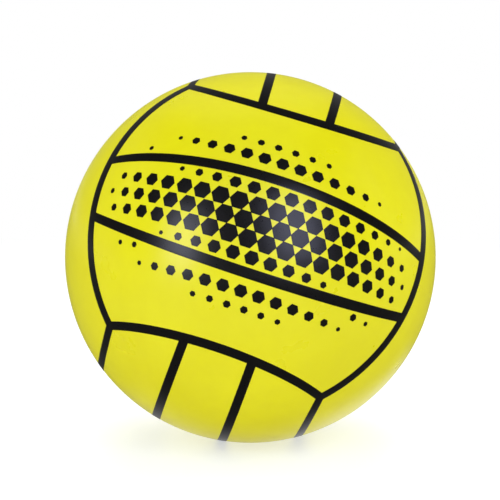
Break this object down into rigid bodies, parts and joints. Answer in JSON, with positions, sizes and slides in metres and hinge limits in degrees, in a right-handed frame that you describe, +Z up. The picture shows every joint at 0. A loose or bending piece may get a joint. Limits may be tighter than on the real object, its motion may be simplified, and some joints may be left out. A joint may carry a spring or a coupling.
{
  "type": "playground ball",
  "caption": "Hollow one-piece vinyl play ball with a printed volleyball line pattern and a push-in valve plug seated in a moulded boss.",
  "frame": {"origin": "centre of the ball", "axes": "+Z up as the ball lies in the picture, the front of its print towards -Y, the valve at the back and low"},
  "size_m": [0.2198, 0.2199, 0.2195],
  "materials": {
    "skin": "satin",
    "ink": "satin",
    "valve": "satin",
    "plug": "satin"
  },
  "bodies": {
    "ball": {"ball_shell": "skin", "line_print": "ink", "valve_boss": "valve"},
    "plug": {"valve_plug": "plug"}
  },
  "joints": [
    {"name": "plug_pull", "type": "slide", "parent": "ball", "child": "plug", "axis": [-0.0655, 0.9374, -0.342], "range_m": [0, 0.014]}
  ]
}
